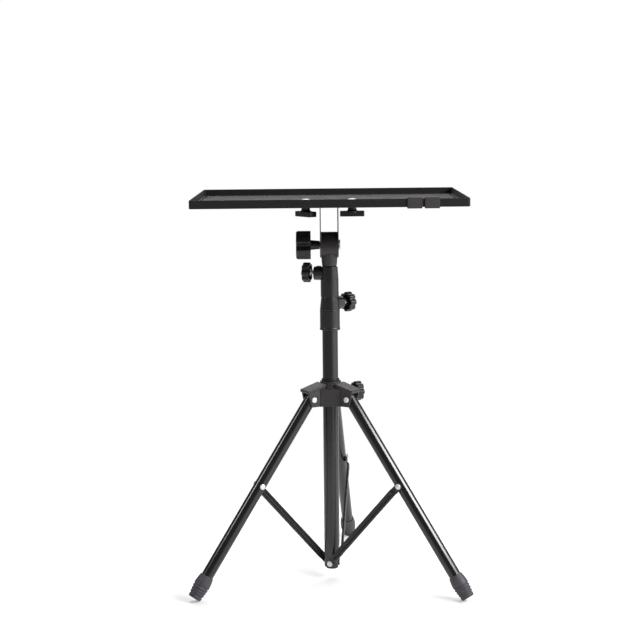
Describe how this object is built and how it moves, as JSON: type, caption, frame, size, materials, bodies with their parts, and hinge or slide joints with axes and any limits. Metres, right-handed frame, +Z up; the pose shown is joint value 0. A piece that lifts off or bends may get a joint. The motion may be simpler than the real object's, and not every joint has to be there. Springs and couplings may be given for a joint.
{
  "type": "tripod laptop stand",
  "caption": "Folding tripod stand with braced legs, a telescoping mast clamped by lobed knobs, and a rimmed laptop tray on a tilting head.",
  "frame": {"origin": "on the ground, in the middle of the stand's own box seen from above; the mast's axis stands at x 0.003, y -0.045", "axes": "+Z up, the front edge of the tray with its clips faces -Y, +X is to the right seen from the front"},
  "size_m": [0.4058, 0.375, 0.5754],
  "materials": {
    "black_paint": "satin black powder coat",
    "black_plastic": "fine-grained moulded black",
    "grey_rubber": "matt dark grey",
    "bright_steel": "bright zinc-plated"
  },
  "bodies": {
    "main": {"main_tube": "black_paint", "tube_plug": "black_plastic", "lower_collar": "black_plastic", "base_rivet_left": "bright_steel", "base_rivet_right": "bright_steel", "base_rivet_rear": "bright_steel"},
    "crown": {"crown": "black_plastic", "crown_bush": "black_plastic", "hinge_rivet_left": "bright_steel", "hinge_rivet_right": "bright_steel", "hinge_rivet_rear": "bright_steel"},
    "leg_left": {"leg_left": "black_paint", "boot_left": "grey_rubber", "leg_rivet_left": "bright_steel"},
    "strut_left": {"strut_left": "black_paint", "strut_rivet_left": "bright_steel"},
    "leg_right": {"leg_right": "black_paint", "boot_right": "grey_rubber", "leg_rivet_right": "bright_steel"},
    "strut_right": {"strut_right": "black_paint", "strut_rivet_right": "bright_steel"},
    "leg_rear": {"leg_rear": "black_paint", "boot_rear": "grey_rubber", "leg_rivet_rear": "bright_steel"},
    "strut_rear": {"strut_rear": "black_paint", "strut_rivet_rear": "bright_steel"},
    "crown_clamp": {"crown_clamp_screw": "bright_steel", "crown_clamp_knob": "black_plastic"},
    "lower_clamp": {"lower_clamp_screw": "bright_steel", "lower_clamp_knob": "black_plastic"},
    "upper_clamp": {"upper_clamp_screw": "bright_steel", "upper_clamp_knob": "black_plastic"},
    "mid": {"mid_tube": "black_paint", "mid_tube_cap": "black_plastic", "upper_collar": "black_plastic"},
    "post": {"head_post": "black_paint", "head_post_cap": "black_plastic"},
    "head": {"head_block": "black_plastic"},
    "tray": {"tilt_bracket": "black_paint", "tray": "black_paint", "tilt_bolt": "bright_steel", "tray_bolt_left": "bright_steel", "tray_bolt_right": "bright_steel"},
    "tilt_knob": {"tilt_knob": "black_plastic"},
    "t_knob_left": {"t_knob_left": "black_plastic"},
    "t_knob_right": {"t_knob_right": "black_plastic"},
    "rim_clip_inner": {"rim_clip_inner": "black_plastic"},
    "rim_clip_outer": {"rim_clip_outer": "black_plastic"}
  },
  "joints": [
    {"name": "crown_slide", "type": "slide", "parent": "main", "child": "crown", "axis": [0, 0, 1], "range_m": [0, 0.0676]},
    {"name": "leg_fold_left", "type": "hinge", "parent": "crown", "child": "leg_left", "pos_m": [-0.02644, -0.06098, 0.27503], "axis": [0.4772, -0.8788, 0], "range_deg": [0, 35.4]},
    {"name": "strut_fold_left", "type": "hinge", "parent": "main", "child": "strut_left", "pos_m": [0.0008, -0.04619, 0.024], "axis": [-0.4772, 0.8788, 0], "range_deg": [0, 31.02]},
    {"name": "leg_fold_right", "type": "hinge", "parent": "crown", "child": "leg_right", "pos_m": [0.03156, -0.0625, 0.27503], "axis": [0.5225, 0.8526, 0], "range_deg": [0, 35.4]},
    {"name": "strut_fold_right", "type": "hinge", "parent": "main", "child": "strut_right", "pos_m": [0.00513, -0.04631, 0.024], "axis": [-0.5225, -0.8526, 0], "range_deg": [0, 31.02]},
    {"name": "leg_fold_rear", "type": "hinge", "parent": "crown", "child": "leg_rear", "pos_m": [0.00737, -0.01179, 0.27503], "axis": [-0.9914, 0.1305, 0], "range_deg": [0, 35.4]},
    {"name": "strut_fold_rear", "type": "hinge", "parent": "main", "child": "strut_rear", "pos_m": [0.00333, -0.04252, 0.024], "axis": [0.9914, -0.1305, 0], "range_deg": [0, 31.02]},
    {"name": "mid_tube_slide", "type": "slide", "parent": "main", "child": "mid", "axis": [0, 0, 1], "range_m": [0, 0.27]},
    {"name": "head_post_slide", "type": "slide", "parent": "mid", "child": "post", "axis": [0, 0, 1], "range_m": [0, 0.26]},
    {"name": "head_swivel", "type": "hinge", "parent": "post", "child": "head", "pos_m": [0.003, -0.045, 0.4681], "axis": [0, 0, 1], "continuous": true},
    {"name": "tray_tilt", "type": "hinge", "parent": "head", "child": "tray", "pos_m": [0.003, -0.045, 0.4991], "axis": [1, 0, 0], "range_deg": [-90, 90]},
    {"name": "crown_clamp_turn", "type": "hinge", "parent": "crown", "child": "crown_clamp", "pos_m": [0.03459, -0.02993, 0.28003], "axis": [0.9026, 0.4305, 0], "range_deg": [0, 720]},
    {"name": "lower_clamp_turn", "type": "hinge", "parent": "main", "child": "lower_clamp", "pos_m": [0.03095, -0.02394, 0.4134], "axis": [0.7986, 0.6018, 0], "range_deg": [0, 720]},
    {"name": "upper_clamp_turn", "type": "hinge", "parent": "mid", "child": "upper_clamp", "pos_m": [-0.03088, -0.03624, 0.4585], "axis": [-0.9681, 0.2504, 0], "range_deg": [0, 720]},
    {"name": "tilt_knob_turn", "type": "hinge", "parent": "tray", "child": "tilt_knob", "pos_m": [-0.027, -0.045, 0.4991], "axis": [-1, 0, 0], "range_deg": [0, 720]},
    {"name": "t_knob_turn_left", "type": "hinge", "parent": "tray", "child": "t_knob_left", "pos_m": [-0.0306, -0.045, 0.555], "axis": [0, 0, -1], "range_deg": [0, 720]},
    {"name": "t_knob_turn_right", "type": "hinge", "parent": "tray", "child": "t_knob_right", "pos_m": [0.0366, -0.045, 0.555], "axis": [0, 0, -1], "range_deg": [0, 720]},
    {"name": "rim_clip_slide_inner", "type": "slide", "parent": "tray", "child": "rim_clip_inner", "axis": [1, 0, 0], "range_m": [-0.28, 0.0015]},
    {"name": "rim_clip_slide_outer", "type": "slide", "parent": "tray", "child": "rim_clip_outer", "axis": [1, 0, 0], "range_m": [-0.0015, 0.036]}
  ],
  "couplings": [
    {"joint": "leg_fold_left", "follows": "crown_slide", "rad_per_m": 9.13},
    {"joint": "strut_fold_left", "follows": "crown_slide", "rad_per_m": 8.0012},
    {"joint": "leg_fold_right", "follows": "crown_slide", "rad_per_m": 9.13},
    {"joint": "strut_fold_right", "follows": "crown_slide", "rad_per_m": 8.0012},
    {"joint": "leg_fold_rear", "follows": "crown_slide", "rad_per_m": 9.13},
    {"joint": "strut_fold_rear", "follows": "crown_slide", "rad_per_m": 8.0012}
  ]
}
